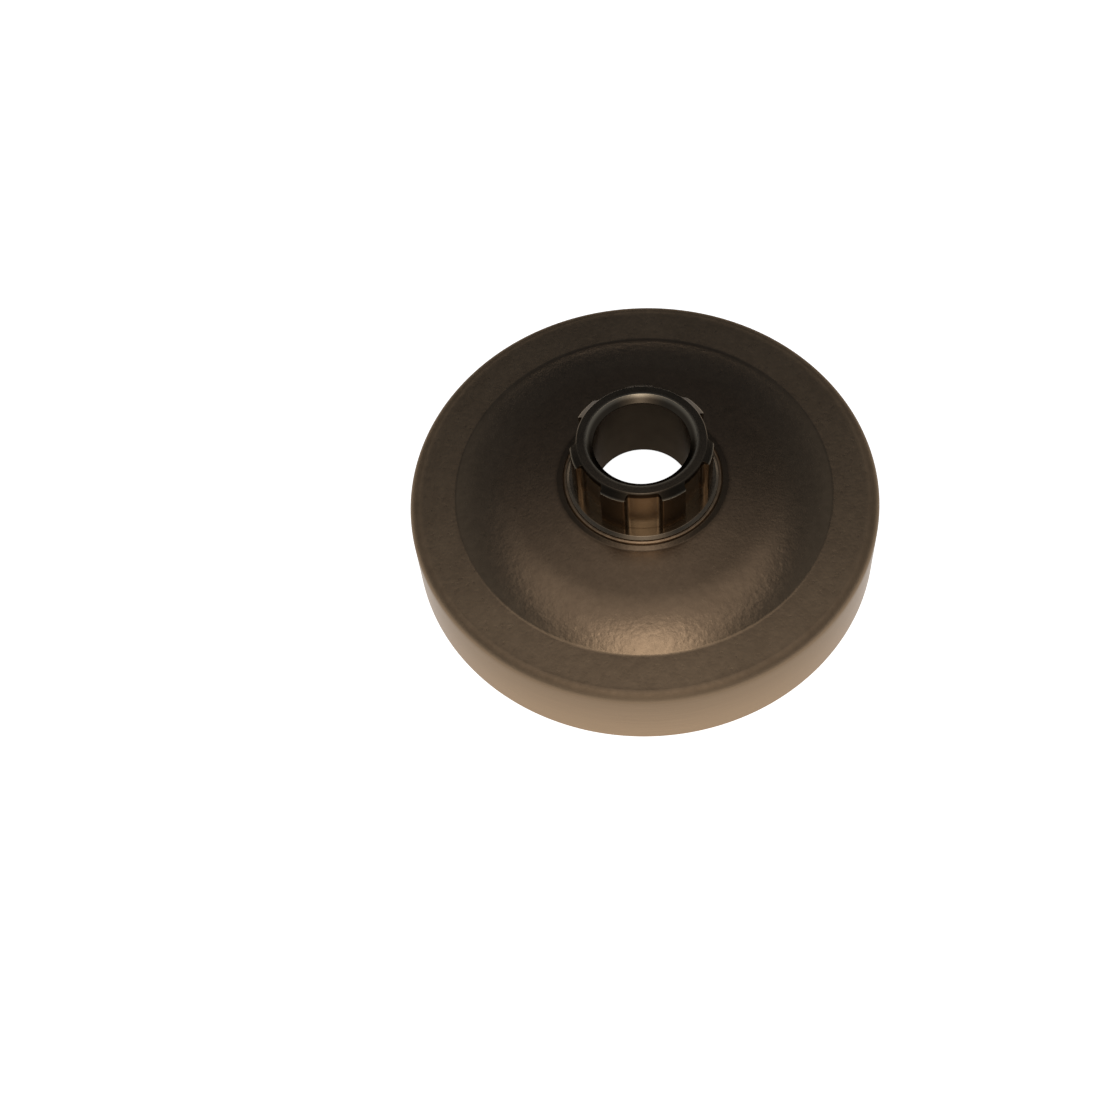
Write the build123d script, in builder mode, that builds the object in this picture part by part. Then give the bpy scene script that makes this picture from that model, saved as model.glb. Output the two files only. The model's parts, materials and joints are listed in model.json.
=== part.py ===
from build123d import *

from math import cos, hypot, radians, sin, tan
import os

# Clutch drum of a small chainsaw: a pressed steel cup brazed to a splined hub.
# The cup stands on its open rim. Z is the drum's axis, and Z = 0 is the plane of the rim.
# All sizes are in millimetres and degrees.

# Pressed cup
drum_diameter = 65.0
cup_height = 11.4
sheet_thickness = 2.4
ring_width = 6.5
bend_radius = 1.4

# Dome of the cup's face: a flank that rises from the flat ring and rounds into a low cone.
# Under it the sheet has a straight flank.
dome_radius = 20.0
dome_flank_angle = 28.0
dome_crown_angle = 4.0

# Friction band, turned inside the wall for the clutch shoes, up to a slanted corner
friction_wall = 2.0
friction_corner = 0.6
rim_chamfer = 0.3

# Notch in the rim for the driver of the oil pump
notch_width = 6.0
notch_depth = 3.5
notch_corner_radius = 1.0

# Hub: a turned sleeve with a flange, seven spline keys and a bore for a needle cage
bore_diameter = 13.0
mouth_chamfer = 0.9
foot_chamfer = 0.3
spigot_wall = 2.0
spigot_projection = 0.8
sleeve_wall = 2.25
flange_ledge = 0.8
flange_thickness = 1.3
flange_chamfer = 0.4
spline_length = 8.4
spline_keys = 7
key_height = 0.85
key_width = 3.5
key_root_radius = 0.5
key_edge_chamfer = 0.2
lead_in = 1.0

# Seat of the hub in the cup, coined so that a low lip stands round the flange
braze_gap = 0.05
seat_depth = 0.4
seat_groove = 0.5
lip_width = 0.8
lip_land = 0.2
lip_height = 0.25

outer_radius = drum_diameter / 2
friction_radius = outer_radius - friction_wall
foot_radius = outer_radius - ring_width
bore_radius = bore_diameter / 2
spigot_radius = bore_radius + spigot_wall
root_radius = bore_radius + sleeve_wall
spline_radius = root_radius + key_height
flange_radius = spline_radius + flange_ledge
hole_radius = spigot_radius + braze_gap
seat_radius = flange_radius + seat_groove
lip_foot_radius = seat_radius + lip_width

# Where the dome's rounded flank ends and its crown cone begins, on the outside of the sheet
shoulder_end_radius = foot_radius - dome_radius * (
    sin(radians(dome_flank_angle)) - sin(radians(dome_crown_angle))
)
shoulder_end_height = cup_height + dome_radius * (
    cos(radians(dome_crown_angle)) - cos(radians(dome_flank_angle))
)


def crown_height(radius, depth=0):
    """Height of the crown cone at a radius, on the skin at a depth below the outside."""
    rise = (shoulder_end_radius - radius) * tan(radians(dome_crown_angle))
    return shoulder_end_height + rise - depth / cos(radians(dome_crown_angle))


ring_underside = cup_height - sheet_thickness
seat_height = crown_height(seat_radius) - seat_depth
lip_top = crown_height(seat_radius) + lip_height
hole_end = crown_height(hole_radius, sheet_thickness)
spigot_end = hole_end - spigot_projection
flange_top = seat_height + flange_thickness
hub_top = flange_top + spline_length

# Cup: its section turned about the axis, then the notch cut through the wall
with BuildPart() as cup:
    with BuildSketch(Plane.XZ):
        with BuildLine():
            bend = CenterArc(
                (outer_radius - bend_radius, cup_height - bend_radius),
                bend_radius,
                start_angle=0,
                arc_size=90,
            )
            ring = Line(bend @ 1, (foot_radius, cup_height))
            shoulder = JernArc(
                start=ring @ 1,
                tangent=(-cos(radians(dome_flank_angle)), sin(radians(dome_flank_angle))),
                radius=dome_radius,
                arc_size=dome_flank_angle - dome_crown_angle,
            )
            Polyline(
                shoulder @ 1,
                (lip_foot_radius, crown_height(lip_foot_radius)),
                (seat_radius + lip_land, lip_top),
                (seat_radius, lip_top),
                (seat_radius, seat_height),
                (hole_radius, seat_height),
                (hole_radius, hole_end),
                (shoulder_end_radius, crown_height(shoulder_end_radius, sheet_thickness)),
                (foot_radius, ring_underside),
                (friction_radius - friction_corner, ring_underside),
                (friction_radius, ring_underside - friction_corner),
                (friction_radius, rim_chamfer),
                (friction_radius + rim_chamfer, 0),
                (outer_radius - rim_chamfer, 0),
                (outer_radius, rim_chamfer),
                bend @ 0,
            )
        make_face()
    revolve(axis=Axis.Z)
    with BuildSketch(Plane.XZ.offset(-outer_radius)) as notch:
        Rectangle(notch_width, 2 * notch_depth)
        fillet(notch.vertices().group_by(Axis.Y)[-1], notch_corner_radius)
    extrude(amount=2 * friction_wall, mode=Mode.SUBTRACT)

# Hub: a turned blank, then the valleys milled between its keys and the keys' edges chamfered
with BuildPart() as hub:
    with BuildSketch(Plane.XZ) as blank:
        with BuildLine():
            Polyline(
                (bore_radius, spigot_end + foot_chamfer),
                (bore_radius + foot_chamfer, spigot_end),
                (spigot_radius, spigot_end),
                (spigot_radius, seat_height),
                (flange_radius, seat_height),
                (flange_radius, flange_top),
                (spline_radius, flange_top),
                (spline_radius, hub_top - lead_in),
                (spline_radius - lead_in, hub_top),
                (bore_radius + mouth_chamfer, hub_top),
                (bore_radius, hub_top - mouth_chamfer),
                close=True,
            )
        make_face()
        chamfer(blank.vertices().sort_by_distance((flange_radius, flange_top))[0], flange_chamfer)
    revolve(axis=Axis.Z)
    with BuildSketch(Plane.XY.offset(flange_top)) as valleys:
        Circle(flange_radius)
        Circle(root_radius, mode=Mode.SUBTRACT)
        with PolarLocations(0, spline_keys, start_angle=90):
            Rectangle(flange_radius, key_width, align=(Align.MIN, Align.CENTER), mode=Mode.SUBTRACT)
        fillet(valleys.vertices().sort_by_distance((0, 0))[: 2 * spline_keys], key_root_radius)
    extrude(amount=spline_length, mode=Mode.SUBTRACT)
    key_edges = hub.edges(Select.LAST).filter_by(Axis.Z)
    key_edges = key_edges.sort_by(lambda edge: hypot(edge.center().X, edge.center().Y))[-2 * spline_keys :]
    chamfer(key_edges, key_edge_chamfer)

cup.part.label = "drum_cup"
hub.part.label = "splined_hub"

os.makedirs("parts", exist_ok=True)
export_step(cup.part, "parts/drum_cup.step")
export_step(hub.part, "parts/splined_hub.step")
print("overall height", round(hub_top, 2), "hub length", round(hub_top - spigot_end, 2))
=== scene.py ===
# %% [markdown]
# # A clutch drum, dressed
#
# The drum is two steel pieces: a pressed cup and a splined hub brazed into it. The solids come in as a
# fixed frame in metres, with the drum's axis on Z and its open rim on the floor, so a finish can be placed
# by radius and height alone. The first box measured here is the one that the dressed drum is compared with.

# %% Load the drum
import json
import math

import bmesh
import bpy
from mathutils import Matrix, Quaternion, Vector


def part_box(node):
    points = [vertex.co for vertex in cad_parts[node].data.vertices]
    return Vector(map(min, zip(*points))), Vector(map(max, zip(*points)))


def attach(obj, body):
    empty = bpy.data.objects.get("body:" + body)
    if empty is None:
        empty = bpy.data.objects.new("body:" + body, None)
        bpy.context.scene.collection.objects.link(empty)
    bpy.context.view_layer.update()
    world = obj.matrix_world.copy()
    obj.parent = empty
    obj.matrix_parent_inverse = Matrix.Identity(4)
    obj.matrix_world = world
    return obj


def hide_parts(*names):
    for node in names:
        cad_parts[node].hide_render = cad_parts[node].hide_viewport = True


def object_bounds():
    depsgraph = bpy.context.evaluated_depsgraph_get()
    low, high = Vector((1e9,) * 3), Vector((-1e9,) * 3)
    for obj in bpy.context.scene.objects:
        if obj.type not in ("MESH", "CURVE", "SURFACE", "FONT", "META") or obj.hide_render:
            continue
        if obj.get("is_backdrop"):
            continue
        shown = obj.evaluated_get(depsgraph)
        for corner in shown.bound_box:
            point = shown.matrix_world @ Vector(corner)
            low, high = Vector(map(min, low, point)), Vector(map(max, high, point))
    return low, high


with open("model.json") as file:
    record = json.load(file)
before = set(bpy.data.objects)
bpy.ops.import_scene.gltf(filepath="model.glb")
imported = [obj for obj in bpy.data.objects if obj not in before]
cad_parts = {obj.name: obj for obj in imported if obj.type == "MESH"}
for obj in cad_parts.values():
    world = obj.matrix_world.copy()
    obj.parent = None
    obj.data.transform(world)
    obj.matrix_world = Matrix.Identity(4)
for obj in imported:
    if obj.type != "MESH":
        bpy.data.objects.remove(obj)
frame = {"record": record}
solid_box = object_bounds()
MM = 0.001
scene = bpy.context.scene
print("drum box in mm", [[round(value / MM, 2) for value in corner] for corner in solid_box])

# %% [markdown]
# ## Camera
#
# The camera looks down on the drum from the front, steeply and from near by. Its place is given the way a
# photographer would note it: a height angle, a distance from the middle of the drum's face, and where in
# the picture that middle falls. The aim is then one rotation, and a small roll tilts the whole picture.

# %% Place the camera
IMAGE_PIXELS = 1100
SENSOR_MM = 36.0
FOCAL_PIXELS = 1800
FACE_PIXEL = (642.9, 488.7)
FACE_HEIGHT = 11.4 * MM
CAMERA_DISTANCE = 249.6 * MM
CAMERA_ELEVATION = math.radians(56.96)
CAMERA_ROLL = math.radians(-1.755)


def place_camera():
    """Make the camera and turn it so that the middle of the face falls on its pixel."""
    data = bpy.data.cameras.new("studio_camera")
    data.sensor_width = SENSOR_MM
    data.lens = SENSOR_MM * FOCAL_PIXELS / IMAGE_PIXELS
    data.clip_start = CAMERA_DISTANCE / 100
    camera = bpy.data.objects.new("studio_camera", data)
    scene.collection.objects.link(camera)
    back = Vector((0, -math.cos(CAMERA_ELEVATION), math.sin(CAMERA_ELEVATION)))
    middle = IMAGE_PIXELS / 2
    aim = Vector((FACE_PIXEL[0] - middle, middle - FACE_PIXEL[1], -FOCAL_PIXELS))
    forward = Vector((0, 0, -1))
    camera.location = Vector((0, 0, FACE_HEIGHT)) + back * CAMERA_DISTANCE
    camera.rotation_mode = "QUATERNION"
    level = (-back).to_track_quat("-Z", "Y")
    camera.rotation_quaternion = level @ Quaternion(-forward, CAMERA_ROLL) @ aim.rotation_difference(forward)
    scene.camera = camera
    return camera


camera = place_camera()
print("camera at mm", [round(value / MM, 1) for value in camera.location], "lens", round(camera.data.lens, 1))

# %% [markdown]
# ## Shader maths
#
# A finish is mostly arithmetic on masks: how near is this point to an edge, how far down the wall, how
# speckled. Written as Math nodes by hand that is hard to read, so a small class wraps a node's output and
# lets Python's own operators add the nodes. The masks and colours that come up again and again are methods.


# %% Wrap a socket
class Wire:
    """An output of a shader node. Python's operators on it add the Math nodes that they stand for."""

    def __init__(self, tree, socket=None):
        self.tree = tree
        self.socket = socket

    def node(self, kind, settings=None, inputs=None, output=0):
        """Add a node: its settings first, then the values or links of its sockets."""
        made = self.tree.nodes.new(kind)
        for name, value in (settings or {}).items():
            setattr(made, name, value)
        for name, value in (inputs or {}).items():
            if isinstance(value, Wire):
                self.tree.links.new(value.socket, made.inputs[name])
            else:
                made.inputs[name].default_value = value
        return Wire(self.tree, made.outputs[output])

    def other(self, output):
        """Another output of the same node."""
        return Wire(self.tree, self.socket.node.outputs[output])

    def math(self, operation, *values):
        return self.node("ShaderNodeMath", {"operation": operation}, dict(enumerate(values)))

    def __add__(self, other):
        return self.math("ADD", self, other)

    def __radd__(self, other):
        return self.math("ADD", other, self)

    def __sub__(self, other):
        return self.math("SUBTRACT", self, other)

    def __rsub__(self, other):
        return self.math("SUBTRACT", other, self)

    def __mul__(self, other):
        return self.math("MULTIPLY", self, other)

    def __rmul__(self, other):
        return self.math("MULTIPLY", other, self)

    def __abs__(self):
        return self.math("ABSOLUTE", self)

    def rise(self, low, high):
        """A mask that goes smoothly from 0 where the wire is low to 1 where it is high."""
        inputs = {"Value": self, "From Min": low, "From Max": high}
        return self.node("ShaderNodeMapRange", {"interpolation_type": "SMOOTHSTEP"}, inputs)

    def near(self, middle, width):
        """A mask that is 1 where the wire has a value and fades to 0 at a width from it."""
        return 1 - abs(self - middle).rise(0, width)

    def vary(self, amount):
        """A factor about 1 that changes by an amount where the wire is noise."""
        return 1 - amount / 2 + self * amount

    def blend(self, first, second):
        """The first colour where the wire is 0 and the second where it is 1."""
        first, second = [colour if isinstance(colour, Wire) else (*colour, 1) for colour in (first, second)]
        return self.node("ShaderNodeMix", {"data_type": "RGBA"}, {0: self, 6: first, 7: second}, output=2)

    def shade(self, colour):
        """A colour times the wire."""
        return self.node("ShaderNodeVectorMath", {"operation": "SCALE"}, {0: colour, "Scale": self})


print("operators on a wire:", [name for name in vars(Wire) if name.startswith("__")])

# %% [markdown]
# ## Profiles with rounded corners
#
# No real edge is sharp. The solids show each edge as a plain chamfer, which is enough for fitting, but a
# highlight needs a round to run along. Both pieces are therefore drawn again from their sections, at the
# same sizes, with a small round on every corner. A bevel modifier could do that too, but a drawn profile
# keeps the rows of the mesh straight, and a close row on each side of a round holds the flats flat. Where
# two faces still meet at a steep angle, the edge is marked sharp, or shading would smear across it.

# %% Round a profile
ROUND_STEPS = 8
HOLD = 0.04
EDGE_ROUND = 0.15
FINE_ROUND = 0.1
SHARP_ANGLE = math.radians(30)


def rounded(corners, closed=True):
    """Points of a profile whose corners are (x, y, radius), with a holding point beside each round."""
    points = []
    count = len(corners)
    for index, (x, y, radius) in enumerate(corners):
        here = Vector((x, y))
        if radius == 0 or not closed and index in (0, count - 1):
            points.append(here)
            continue
        before = (Vector(corners[index - 1][:2]) - here).normalized()
        after = (Vector(corners[(index + 1) % count][:2]) - here).normalized()
        half = before.angle(after) / 2
        reach = radius / math.tan(half)
        middle = here + (before + after).normalized() * (radius / math.sin(half))
        spoke = here + before * reach - middle
        turn = -spoke.angle_signed(here + after * reach - middle)
        points.append(here + before * (reach + HOLD))
        for step in range(ROUND_STEPS + 1):
            angle = turn * step / ROUND_STEPS
            points.append(middle + Vector((
                spoke.x * math.cos(angle) - spoke.y * math.sin(angle),
                spoke.x * math.sin(angle) + spoke.y * math.cos(angle),
            )))
        points.append(here + after * (reach + HOLD))
    return points


def skin_grid(name, columns):
    """A closed mesh from columns of points in millimetres, joined in turn and the last to the first."""
    rows = len(columns[0])
    points = [Vector(point) * MM for column in columns for point in column]
    faces = []
    for index in range(len(columns)):
        here = index * rows
        there = (index + 1) % len(columns) * rows
        for row in range(rows):
            above = (row + 1) % rows
            faces.append((here + row, there + row, there + above, here + above))
    mesh = bpy.data.meshes.new(name)
    mesh.from_pydata(points, [], faces)
    shape = bmesh.new()
    shape.from_mesh(mesh)
    bmesh.ops.recalc_face_normals(shape, faces=shape.faces)
    shape.to_mesh(mesh)
    shape.free()
    mesh.shade_smooth()
    mesh.set_sharp_from_angle(angle=SHARP_ANGLE)
    piece = bpy.data.objects.new(name, mesh)
    scene.collection.objects.link(piece)
    return piece


print("a rounded square has", len(rounded([(0, 0, 1), (9, 0, 1), (9, 9, 1), (0, 9, 1)])), "points")

# %% [markdown]
# ## Pressed cup
#
# The cup is stamped from sheet and then turned: a straight wall, a tight bend, a flat ring, a dome that
# rises in the middle and a low lip round the seat of the hub. It is a lathe shape, so its section is spun
# about the axis. Only the notch in the rim breaks the symmetry. The columns of the mesh follow the notch's
# own outline there, which cuts it cleanly and needs no boolean.

# %% Sizes of the cup, in millimetres
dims = {mount["name"]: mount["dims"] for mount in frame["record"]["mounts"]}
WALL_RADIUS = solid_box[1].x / MM
BAND_RADIUS = dims["friction_band"]["r_mm"]
RIM_CHAMFER = 0.3
BAND_TOP = RIM_CHAMFER + dims["friction_band"]["length_mm"]
BAND_CORNER = 0.6
RING_TOP = FACE_HEIGHT / MM
BEND_RADIUS = 1.4
RING_WIDTH = 6.5
DOME_FOOT = WALL_RADIUS - RING_WIDTH
DOME_FOOT_ROUND = 1.0
DOME_RADIUS = 20.0
DOME_FLANK = math.radians(28)
DOME_CROWN = math.radians(4)
DOME_STEPS = 14
FLANGE_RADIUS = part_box("splined_hub")[1].x / MM
SEAT_GROOVE = 0.5
SEAT_DEPTH = 0.65
SEAT_RADIUS = FLANGE_RADIUS + SEAT_GROOVE
LIP_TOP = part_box("drum_cup")[1].z / MM
LIP_WIDTH = 0.8
LIP_LAND = 0.2
LIP_FOOT = SEAT_RADIUS + LIP_WIDTH
SEAT_HEIGHT = LIP_TOP - SEAT_DEPTH
BORE_RADIUS = dims["needle_bore"]["r_mm"]
SPIGOT_WALL = 2.0
BRAZE_GAP = 0.05
SPIGOT_RADIUS = BORE_RADIUS + SPIGOT_WALL
HOLE_RADIUS = SPIGOT_RADIUS + BRAZE_GAP
CROWN_START = DOME_FOOT - DOME_RADIUS * (math.sin(DOME_FLANK) - math.sin(DOME_CROWN))
CROWN_HEIGHT = RING_TOP + DOME_RADIUS * (math.cos(DOME_CROWN) - math.cos(DOME_FLANK))
SHEET = 2.4
print("seat radius", round(SEAT_RADIUS, 2), "and height", round(SEAT_HEIGHT, 2))
print("dome from radius", DOME_FOOT, "to", round(CROWN_START, 2), "and height", round(CROWN_HEIGHT, 2))

# %% Section of the cup
def crown(radius):
    """Height of the crown's low cone at a radius."""
    return CROWN_HEIGHT + (CROWN_START - radius) * math.tan(DOME_CROWN)


def dome_point(step):
    """A point of the dome's rounded flank, from its foot up to the crown."""
    tilt = DOME_FLANK + (DOME_CROWN - DOME_FLANK) * step / DOME_STEPS
    radius = DOME_FOOT - DOME_RADIUS * (math.sin(DOME_FLANK) - math.sin(tilt))
    return (radius, RING_TOP + DOME_RADIUS * (math.cos(tilt) - math.cos(DOME_FLANK)), 0)


cup_section = rounded(
    [
        (WALL_RADIUS - RIM_CHAMFER, 0, EDGE_ROUND),
        (WALL_RADIUS, RIM_CHAMFER, EDGE_ROUND),
        (WALL_RADIUS, RING_TOP, BEND_RADIUS),
        (DOME_FOOT, RING_TOP, DOME_FOOT_ROUND),
        *[dome_point(step) for step in range(2, DOME_STEPS + 1)],
        (LIP_FOOT, crown(LIP_FOOT), 0.5),
        (SEAT_RADIUS + LIP_LAND, LIP_TOP, 0.2),
        (SEAT_RADIUS, LIP_TOP, 0.08),
        (SEAT_RADIUS, SEAT_HEIGHT, 0),
        (HOLE_RADIUS, SEAT_HEIGHT, 0),
        (HOLE_RADIUS, crown(HOLE_RADIUS) - SHEET / math.cos(DOME_CROWN), FINE_ROUND),
        (CROWN_START, CROWN_HEIGHT - SHEET / math.cos(DOME_CROWN), 3.0),
        (DOME_FOOT, RING_TOP - SHEET, 1.0),
        (BAND_RADIUS - BAND_CORNER, RING_TOP - SHEET, EDGE_ROUND),
        (BAND_RADIUS, BAND_TOP, EDGE_ROUND),
        (BAND_RADIUS, RIM_CHAMFER, EDGE_ROUND),
        (BAND_RADIUS + RIM_CHAMFER, 0, EDGE_ROUND),
    ]
)
print("the cup's section has", len(cup_section), "points")

# %% Spin the cup and cut its notch
CUP_COLUMNS = 280
NOTCH_HALF = 3.0
NOTCH_DEPTH = 3.5
NOTCH_MARGIN = 1.0
NOTCH_ROUND = 1.0
NOTCH_LEAN = 0.1

notch_outline = rounded(
    [
        (-NOTCH_HALF - NOTCH_MARGIN, 0, 0),
        (-NOTCH_HALF, 0, EDGE_ROUND),
        (-NOTCH_HALF, NOTCH_DEPTH, NOTCH_ROUND),
        *[(across, NOTCH_DEPTH, 0) for across in (-1.2, -0.4, 0.4, 1.2)],
        (NOTCH_HALF, NOTCH_DEPTH, NOTCH_ROUND),
        (NOTCH_HALF, 0, EDGE_ROUND),
        (NOTCH_HALF + NOTCH_MARGIN, 0, 0),
    ],
    closed=False,
)


def notch_column(across, base):
    """The section at a point of the notch's outline: its rim lies there, and further up it leans outwards."""
    lean = 1 + NOTCH_LEAN * (1 - base / NOTCH_DEPTH) * (NOTCH_HALF + NOTCH_MARGIN - abs(across))
    column = []
    for radius, height in cup_section:
        at_rim = radius > BAND_RADIUS - HOLD and height < NOTCH_DEPTH
        x = across if at_rim else across * lean * radius / WALL_RADIUS
        column.append((x, math.sqrt(radius**2 - x**2), height + base if at_rim else height))
    return column


def plain_column(angle):
    """The section at an angle from the notch."""
    return [(radius * math.sin(angle), radius * math.cos(angle), height) for radius, height in cup_section]


notch_angle = math.asin((NOTCH_HALF + NOTCH_MARGIN) / WALL_RADIUS)
plain_step = 2 * (math.pi - notch_angle) / CUP_COLUMNS
cup_skin = skin_grid(
    "pressed_cup",
    [notch_column(*point) for point in notch_outline]
    + [plain_column(notch_angle + plain_step * index) for index in range(1, CUP_COLUMNS)],
)
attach(cup_skin, "root")
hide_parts("drum_cup")
print("pressed cup:", len(cup_skin.data.polygons), "faces")

# %% [markdown]
# ## Splined hub
#
# The hub is turned from bar: a spigot that goes into the cup, a flange, a sleeve and a bore for the needle
# cage. Valleys are milled along the sleeve and leave seven keys for the sprocket. The same grid makes it:
# its columns follow the outline of the keys, and where the outline stands further out than the turned
# section, the section wins. That is how the lead-in cone cuts keys and valleys alike.

# %% Outline of the keys
KEYS = 7
KEY_HALF = 1.75
KEY_HEIGHT = 0.85
KEY_ROOT_ROUND = 0.5
KEY_EDGE_ROUND = 0.2
FLANGE_LEDGE = 0.8
KEY_RADIUS = FLANGE_RADIUS - FLANGE_LEDGE
ROOT_RADIUS = KEY_RADIUS - KEY_HEIGHT
VALLEY_STEPS = 7
CREST_STEPS = 4
KEY_PITCH = 2 * math.pi / KEYS


def on_circle(radius, angle):
    """A plain point of the outline, by its radius and its angle from the key's middle."""
    return (radius * math.sin(angle), radius * math.cos(angle), 0)


def key_corners():
    """Corners of the outline of one key and the valley after it."""
    root = math.asin(KEY_HALF / ROOT_RADIUS)
    edge = math.asin(KEY_HALF / KEY_RADIUS)
    valley = KEY_PITCH - 2 * root
    crest = [on_circle(KEY_RADIUS, edge * (2 * step / CREST_STEPS - 1)) for step in range(1, CREST_STEPS)]
    floor = [on_circle(ROOT_RADIUS, root + valley * step / VALLEY_STEPS) for step in range(1, VALLEY_STEPS)]
    return [
        (-KEY_HALF, ROOT_RADIUS * math.cos(root), KEY_ROOT_ROUND),
        (-KEY_HALF, KEY_RADIUS * math.cos(edge), KEY_EDGE_ROUND),
        *crest,
        (KEY_HALF, KEY_RADIUS * math.cos(edge), KEY_EDGE_ROUND),
        (KEY_HALF, ROOT_RADIUS * math.cos(root), KEY_ROOT_ROUND),
        *floor,
    ]


def turned(corner, angle):
    """A corner turned clockwise about the axis."""
    x, y, radius = corner
    return (x * math.cos(angle) + y * math.sin(angle), y * math.cos(angle) - x * math.sin(angle), radius)


spline_outline = rounded(
    [turned(corner, KEY_PITCH * key) for key in range(KEYS) for corner in key_corners()]
)
print("the spline's outline has", len(spline_outline), "points")

# %% Section of the hub, and its mesh
HUB_TOP = solid_box[1].z / MM
FLANGE_THICKNESS = 1.3
FLANGE_TOP = SEAT_HEIGHT + FLANGE_THICKNESS
SPIGOT_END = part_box("splined_hub")[0].z / MM
FLANGE_CHAMFER = 0.4
FOOT_CHAMFER = 0.3
MOUTH_CHAMFER = 0.9
MOUTH_ROUND = 0.12
LEAD_IN = 1.0
LEAD_STEPS = 12

lead_in = [
    (KEY_RADIUS - LEAD_IN * step / LEAD_STEPS, HUB_TOP - LEAD_IN + LEAD_IN * step / LEAD_STEPS, 0)
    for step in range(2, LEAD_STEPS)
]
hub_section = rounded(
    [
        (BORE_RADIUS, SPIGOT_END + FOOT_CHAMFER, FINE_ROUND),
        (BORE_RADIUS + FOOT_CHAMFER, SPIGOT_END, FINE_ROUND),
        (SPIGOT_RADIUS, SPIGOT_END, FINE_ROUND),
        (SPIGOT_RADIUS, SEAT_HEIGHT, 0),
        (FLANGE_RADIUS, SEAT_HEIGHT, FINE_ROUND),
        (FLANGE_RADIUS, FLANGE_TOP - FLANGE_CHAMFER, EDGE_ROUND),
        (FLANGE_RADIUS - FLANGE_CHAMFER, FLANGE_TOP, EDGE_ROUND),
        (KEY_RADIUS + HOLD, FLANGE_TOP, 0),
        (KEY_RADIUS, FLANGE_TOP, 0),
        (KEY_RADIUS, FLANGE_TOP + HOLD, 0),
        (KEY_RADIUS, HUB_TOP - LEAD_IN, MOUTH_ROUND),
        *lead_in,
        (KEY_RADIUS - LEAD_IN, HUB_TOP, FINE_ROUND),
        (BORE_RADIUS + MOUTH_CHAMFER, HUB_TOP, MOUTH_ROUND),
        (BORE_RADIUS, HUB_TOP - MOUTH_CHAMFER, MOUTH_ROUND),
    ]
)


def hub_column(outline_point):
    """The hub's section in the direction of a point of the spline's outline."""
    reach = outline_point.length
    inner = BORE_RADIUS + MOUTH_CHAMFER
    outer = KEY_RADIUS + 2 * HOLD
    column = []
    for radius, height in hub_section:
        on_spline = height > FLANGE_TOP - HOLD and inner < radius < outer
        shown = min(radius, reach + max(0, radius - KEY_RADIUS)) if on_spline else radius
        column.append((*(outline_point / reach * shown), height))
    return column


hub_skin = skin_grid("turned_hub", [hub_column(point) for point in spline_outline])
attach(hub_skin, "root")
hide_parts("splined_hub")
print("turned hub:", len(hub_skin.data.polygons), "faces")

# %% [markdown]
# ## Braze
#
# The two pieces are joined in a furnace. Braze creeps into the gap between the flange and the lip of the
# seat and sets there with a hollow surface, so on the real drum only a faint dark line is left of the
# groove. It is a small ring, spun like the cup, and it reaches a little way into the steel on both sides.

# %% Run the braze into the groove
BRAZE_BITE = 0.02
BRAZE_SINK = 0.1
BRAZE_HOLLOW = 0.13
BRAZE_CLIMB = 0.06
BRAZE_COLUMNS = 160
BRAZE_STEPS = 6


def braze_height(share):
    """Height of the hollow surface, from the flange at 0 to the lip at 1."""
    return LIP_TOP - BRAZE_SINK - BRAZE_HOLLOW * math.sin(math.pi * share) + BRAZE_CLIMB * (1 - share)


braze_inner = FLANGE_RADIUS - BRAZE_BITE
braze_width = SEAT_RADIUS + BRAZE_BITE - braze_inner
braze_section = [(braze_inner, SEAT_HEIGHT), (braze_inner + braze_width, SEAT_HEIGHT)] + [
    (braze_inner + braze_width * step / BRAZE_STEPS, braze_height(step / BRAZE_STEPS))
    for step in range(BRAZE_STEPS, -1, -1)
]
braze_skin = skin_grid(
    "braze_fillet",
    [
        [(radius * math.sin(angle), radius * math.cos(angle), height) for radius, height in braze_section]
        for angle in [2 * math.pi * column / BRAZE_COLUMNS for column in range(BRAZE_COLUMNS)]
    ],
)
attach(braze_skin, "root")
print("braze fillet:", len(braze_skin.data.polygons), "faces")

# %% [markdown]
# ## Places on the drum
#
# Every finish below asks the same things of a point: how far from the axis, how high, which way round.
# Object coordinates answer them, because a piece's own frame is the drum's frame. They stick to the steel
# when the camera moves, and they need no unwrapping.


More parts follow.
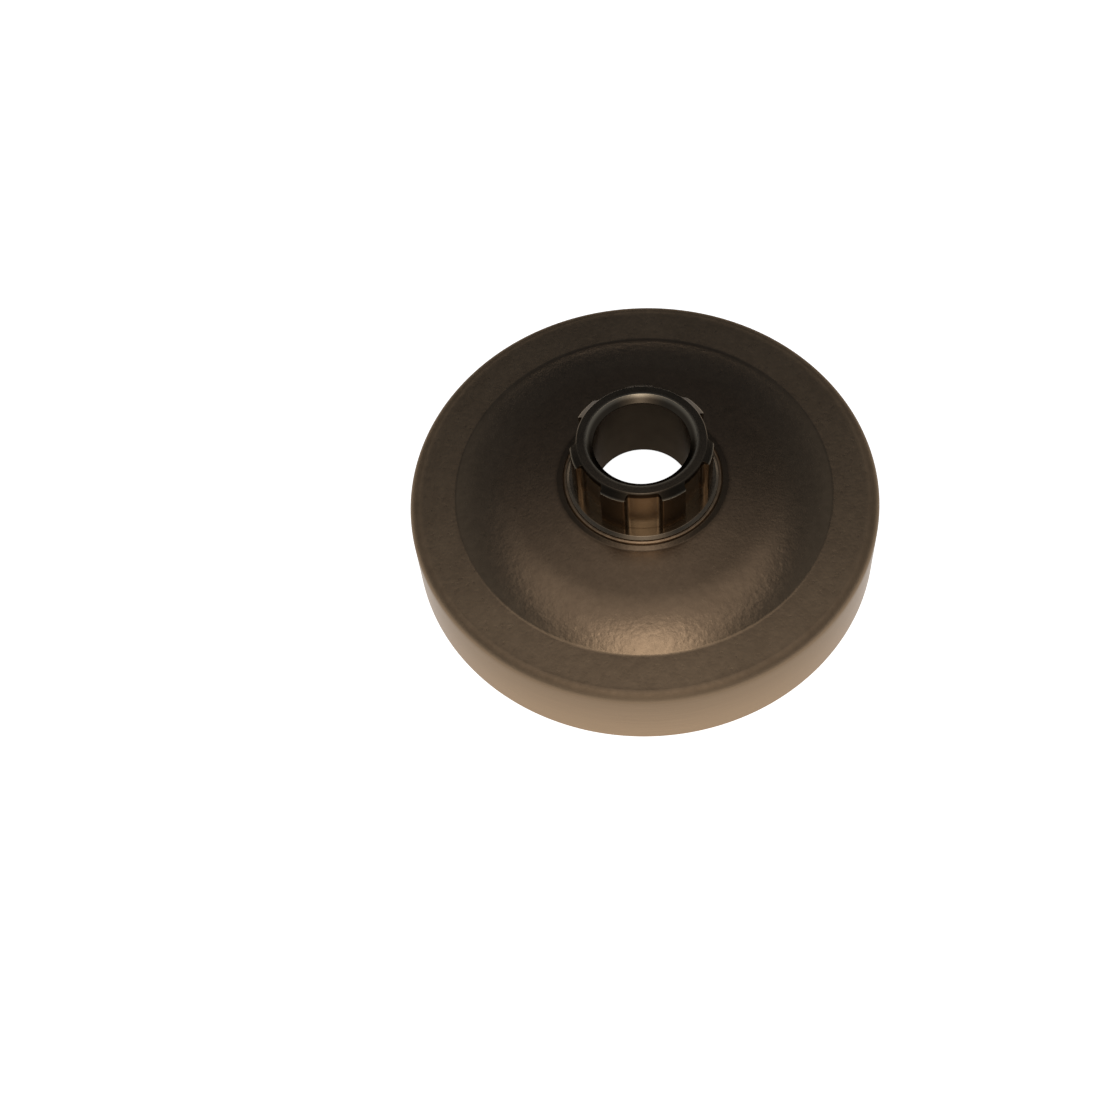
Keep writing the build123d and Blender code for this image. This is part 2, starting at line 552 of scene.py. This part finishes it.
# %% Ask where a point is
class Finish:
    """A new material, with a point's place on the drum in millimetres and noise at sizes of the drum."""

    def __init__(self, name):
        self.material = bpy.data.materials.new(name)
        self.material.use_nodes = True
        self.shader = self.material.node_tree.nodes["Principled BSDF"]
        self.wire = Wire(self.material.node_tree)
        metres = self.wire.node("ShaderNodeTexCoord", output="Object")
        scale = {0: metres, "Scale": 1 / MM}
        self.point = self.wire.node("ShaderNodeVectorMath", {"operation": "SCALE"}, scale)
        self.x = self.wire.node("ShaderNodeSeparateXYZ", None, {0: self.point})
        self.y = self.x.other("Y")
        self.height = self.x.other("Z")
        self.radius = self.wire.math("SQRT", self.x * self.x + self.y * self.y)

    def noise(self, size, detail=2.0, stretch=(1, 1, 1)):
        """Noise about one half, whose marks have a size in millimetres and may be stretched."""
        pace = tuple(1 / (size * factor) for factor in stretch)
        point = self.wire.node("ShaderNodeVectorMath", {"operation": "MULTIPLY"}, {0: self.point, 1: pace})
        return self.wire.node("ShaderNodeTexNoise", None, {"Vector": point, "Scale": 1.0, "Detail": detail})

    def finish(self, piece, heights, inputs, constants):
        """Link what varies to the shader, with heights in millimetres as a bump, and give it to the piece."""
        bump = self.wire.node("ShaderNodeBump", None, {"Distance": MM, "Height": heights})
        for name, value in {**inputs, "Normal": bump}.items():
            self.wire.tree.links.new(value.socket, self.shader.inputs[name])
        for name, value in constants.items():
            self.shader.inputs[name].default_value = value
        piece.data.materials.clear()
        piece.data.materials.append(self.material)
        print(self.material.name, "has", len(self.wire.tree.nodes), "nodes")


# %% [markdown]
# ## Finish of the cup
#
# The cup's face is brown-black oxide, grainy from the press, blotched, and darker towards the hub and on
# the lip of the seat. The dome's flank was stretched most, so it has a fine orange peel that breaks up the
# highlight. The wall was turned after pressing, so it is smoother, paler and finely lined, and the bend
# between them is dull. The wall is also painted darker towards the bend, as painted shade. Inside, the
# shoes have polished the friction band. One material holds all of that, because it is one piece of steel,
# and masks by radius and height part the zones. The specular tint dims the metal where it is seen edge on,
# which keeps the sides of the wall from turning white.

# %% Colour the cup
RING = (0.270, 0.182, 0.110)
DOME = (0.225, 0.150, 0.092)
CROWN = (0.165, 0.110, 0.068)
TURNED = (0.322, 0.224, 0.140)
POLISHED = (0.480, 0.430, 0.370)
EDGE_TINT = (0.74, 0.70, 0.66, 1)

steel = Finish("oxide_sheet")
blotch = steel.noise(size=9.0)
mottle = steel.noise(size=1.1, detail=3.0)
grain = steel.noise(size=0.40)
peel = steel.noise(size=0.75, detail=3.0)
lines = steel.noise(size=0.16, stretch=(60, 60, 1))
wall = steel.radius.rise(WALL_RADIUS - 1.0, WALL_RADIUS - 0.1)
bend = steel.radius.near(WALL_RADIUS - BEND_RADIUS / 2, BEND_RADIUS) * steel.height.rise(
    RING_TOP - 2 * BEND_RADIUS, RING_TOP - BEND_RADIUS / 2
)
band = (1 - steel.radius.rise(BAND_RADIUS + 0.05, BAND_RADIUS + 0.3)) * (
    1 - steel.height.rise(BAND_TOP - 0.1, BAND_TOP + 0.2)
)
lip = 1 - steel.radius.rise(LIP_FOOT - 0.2, LIP_FOOT + 0.6)
flank = steel.radius.near(DOME_FOOT - 2, 6) * (1 - steel.radius.rise(DOME_FOOT - 0.3, DOME_FOOT + 0.2))

# The face is darker from the ring over the dome to the crown, and darker still on the lip of the seat.
domed = steel.radius.rise(CROWN_START - 1, CROWN_START + 3).blend(CROWN, DOME)
oxide = steel.radius.rise(DOME_FOOT - 4, DOME_FOOT + 3).blend(domed, RING)
oxide = (mottle.vary(0.4) * blotch.vary(0.3) * (1 - lip * 0.45)).shade(oxide)
# Painted shade: the turned wall is painted up to 30% darker from the rim up to the bend.
lined_with_painted_shade = (lines.vary(0.3) * (1 - steel.height.rise(0, RING_TOP) * 0.3)).shade(TURNED)
colour = band.blend(wall.blend(oxide, lined_with_painted_shade), POLISHED)
tooled = wall.math("MAXIMUM", wall, band)
steel.finish(
    cup_skin,
    (grain * 0.014 + peel * flank * 0.045) * (1 - tooled) + lines * 0.002 * tooled,
    {
        "Base Color": colour,
        "Roughness": (0.24 + grain * 0.12) * (1 - tooled) + (0.24 + lines * 0.12) * tooled + bend * 0.3,
    },
    {"Metallic": 1.0, "Specular Tint": EDGE_TINT},
)

# %% [markdown]
# ## Finish of the hub
#
# The hub was turned, milled and then blackened with the cup. Its faces are smoother than the sheet, and
# fine rings run round the flange and the bore. The end and the lead-in cone are darker and the flange a
# little darker, the sprocket rubs the valleys, and the edges of the mouth and of the keys are painted
# bright, partly as wear and partly as a painted highlight.

# %% Colour the hub
BLACKENED = (0.225, 0.168, 0.114)
RUBBED = (0.420, 0.335, 0.240)
BRIGHT = (0.430, 0.350, 0.250)

bar = Finish("blackened_hub")
cloud = bar.noise(size=3.0, detail=3.0)
fine = bar.noise(size=0.25)
rings = bar.noise(size=0.12, detail=1.0, stretch=(40, 40, 1))
mouth = bar.radius.near(BORE_RADIUS + MOUTH_CHAMFER - 0.1, 0.5) * bar.height.rise(HUB_TOP - 0.6, HUB_TOP)
valley = bar.radius.near(ROOT_RADIUS, 0.3) * bar.height.rise(FLANGE_TOP, FLANGE_TOP + 0.3)
key_corner = bar.height.near(HUB_TOP - LEAD_IN, 0.25) * bar.radius.rise(KEY_RADIUS - 0.3, KEY_RADIUS - 0.1)
# The mouth's rim and the keys' top corners are painted bright: partly edge wear, partly a painted highlight.
wear_and_highlight = mouth.math("MAXIMUM", mouth * 0.75, key_corner * 0.4)
ends = bar.height.rise(HUB_TOP - LEAD_IN - 0.1, HUB_TOP - LEAD_IN + 0.1)
flange = (1 - bar.height.rise(FLANGE_TOP, FLANGE_TOP + 0.1)) * bar.radius.rise(ROOT_RADIUS, ROOT_RADIUS + 0.1)
cone = bar.radius.rise(KEY_RADIUS - LEAD_IN, KEY_RADIUS - LEAD_IN + 0.2)
# The end and the lead-in cone are darker, and the flange a little darker.
darker_ends_and_flange = (ends * (0.55 + cone * 0.27) + flange * 0.20) * (1 - wear_and_highlight)
skin = (valley * (1 - ends)).blend(BLACKENED, RUBBED)
bar.finish(
    hub_skin,
    rings * 0.002 + fine * 0.003,
    {
        "Base Color": wear_and_highlight.blend((cloud.vary(0.5) * (1 - darker_ends_and_flange)).shade(skin), BRIGHT),
        "Roughness": 0.17 + fine * 0.12,
    },
    {"Metallic": 1.0, "Specular Tint": EDGE_TINT},
)

# %% [markdown]
# ## Finish of the braze
#
# The braze is a copper alloy that the blackening turned brown. It never got tooled, so it has no lines,
# only the soft lumps it set with.

# %% Colour the braze
BRAZE = (0.270, 0.176, 0.104)

braze = Finish("blackened_braze")
lumps = braze.noise(size=0.7)
braze.finish(
    braze_skin,
    lumps * 0.03,
    {"Base Color": lumps.vary(0.6).shade(BRAZE), "Roughness": 0.30 + lumps * 0.15},
    {"Metallic": 1.0},
)

# %% [markdown]
# ## Floor
#
# Dark steel is mostly a picture of what stands round it. The drum stands on a pale floor, which the wall
# mirrors. The floor shows as white to the camera and in the steel. Inside the cup, where no light gets in,
# the steel mirrors it dark, or the bore would shine. From below the floor is clear, so the inside of the
# cup can be looked at, and it lies a hair under the rim so that the two never share a plane.

# %% Lay the floor
FLOOR_RADIUS = 1.2
FLOOR_WHITE = 0.17
FLOOR_FADE = 0.45
FLOOR_GAP = 0.02 * MM
FLOOR_PALE = (0.8, 0.8, 0.8, 1)
MIRRORED_INSIDE = 0.05
MIRRORED_OUTSIDE = 0.85


def lay_floor():
    """A round floor whose white fades to the room's grey, with the drum's shadow kept on it."""
    mesh = bpy.data.meshes.new("studio_floor")
    shape = bmesh.new()
    bmesh.ops.create_circle(shape, cap_ends=True, radius=FLOOR_RADIUS, segments=96)
    shape.to_mesh(mesh)
    shape.free()
    floor = bpy.data.objects.new("studio_floor", mesh)
    floor.location.z = -FLOOR_GAP
    scene.collection.objects.link(floor)
    floor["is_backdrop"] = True
    material = bpy.data.materials.new("pale_floor")
    material.use_nodes = True
    tree = material.node_tree
    tree.nodes.remove(tree.nodes["Principled BSDF"])
    wire = Wire(tree)
    metres = wire.node("ShaderNodeTexCoord", output="Object")
    away = wire.node("ShaderNodeVectorMath", {"operation": "LENGTH"}, {0: metres}, output="Value")
    outside = wire.math("GREATER_THAN", away, BAND_RADIUS * MM)
    camera_ray = wire.node("ShaderNodeLightPath", output="Is Camera Ray")
    mirrored = camera_ray.other("Is Glossy Ray") + camera_ray.other("Is Transmission Ray")
    strength = MIRRORED_INSIDE + outside * (MIRRORED_OUTSIDE - MIRRORED_INSIDE)
    seen = (camera_ray + mirrored * strength) * (1 - away.rise(FLOOR_WHITE, FLOOR_FADE))
    lit = wire.node("ShaderNodeBsdfDiffuse", None, {"Color": FLOOR_PALE})
    shown = wire.node("ShaderNodeEmission", None, {"Strength": seen})
    total = wire.node("ShaderNodeAddShader", None, {0: lit, 1: shown})
    below = wire.node("ShaderNodeNewGeometry", output="Backfacing")
    clear = wire.node("ShaderNodeBsdfTransparent")
    surface = wire.node("ShaderNodeMixShader", None, {0: below, 1: total, 2: clear})
    tree.links.new(surface.socket, tree.nodes["Material Output"].inputs["Surface"])
    mesh.materials.append(material)


lay_floor()
print("floor radius", FLOOR_RADIUS, "m, white to", FLOOR_WHITE, "m")

# %% [markdown]
# ## Light
#
# Two soft lamps light the drum: a wide one overhead, which the face mirrors, and a narrow one that stands
# in front, which makes the bright patch at the foot of the dome. The room is bright in front, where the
# photographer stands, dimmer at the sides and dark behind. That is what keeps the bend free of a dark line
# and the back of the dome nearly black.

# %% Light the room
LAMP_DISTANCE = 0.5
ROOM_DARK = (0.056, 0.070, 0.092)
ROOM_SIDE = (0.200, 0.225, 0.255)
ROOM_FRONT = (0.700, 0.680, 0.650)


def hang_lamp(name, tilt, width, length, power):
    """A soft oval lamp, tilted to the front, that looks at the drum."""
    data = bpy.data.lights.new(name, "AREA")
    data.shape = "ELLIPSE"
    data.size = width
    data.size_y = length
    data.energy = power
    lamp = bpy.data.objects.new(name, data)
    scene.collection.objects.link(lamp)
    towards = Vector((0, -math.sin(tilt), math.cos(tilt)))
    lamp.location = towards * LAMP_DISTANCE
    lamp.rotation_mode = "QUATERNION"
    lamp.rotation_quaternion = (-towards).to_track_quat("-Z", "Y")
    return lamp


def paint_room():
    """A room whose light depends on how far a direction leans to the front or to a side."""
    world = bpy.data.worlds.new("studio_room")
    scene.world = world
    world.use_nodes = True
    wire = Wire(world.node_tree)
    way = wire.node("ShaderNodeTexCoord", output="Generated")
    across = wire.node("ShaderNodeSeparateXYZ", None, {0: way})
    sides = abs(across).rise(0.2, 1.0).blend(ROOM_DARK, ROOM_SIDE)
    front = (0 - across.other("Y")).rise(0.1, 0.9) * (1 - abs(across).rise(0.15, 0.65))
    room = front.blend(sides, ROOM_FRONT)
    world.node_tree.links.new(room.socket, world.node_tree.nodes["Background"].inputs["Color"])


lamps = [
    hang_lamp("front_lamp", math.radians(30), 0.21, 0.44, 0.33),
    hang_lamp("overhead_lamp", math.radians(1), 0.55, 0.55, 0.42),
]
paint_room()
scene.view_settings.view_transform = "Standard"
print("lamps:", [(lamp.name, round(lamp.data.energy, 2)) for lamp in lamps])

# %% [markdown]
# ## Box of the dressed drum
#
# The dressed drum's box is measured again and set against the box of the solids, and its growth on each
# axis is printed.

# %% Compare the boxes
dressed_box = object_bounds()
growth = [(dressed_box[1][axis] - solid_box[1][axis]) / MM for axis in range(3)]
print("the dressed drum grows by mm", [round(value, 4) for value in growth])
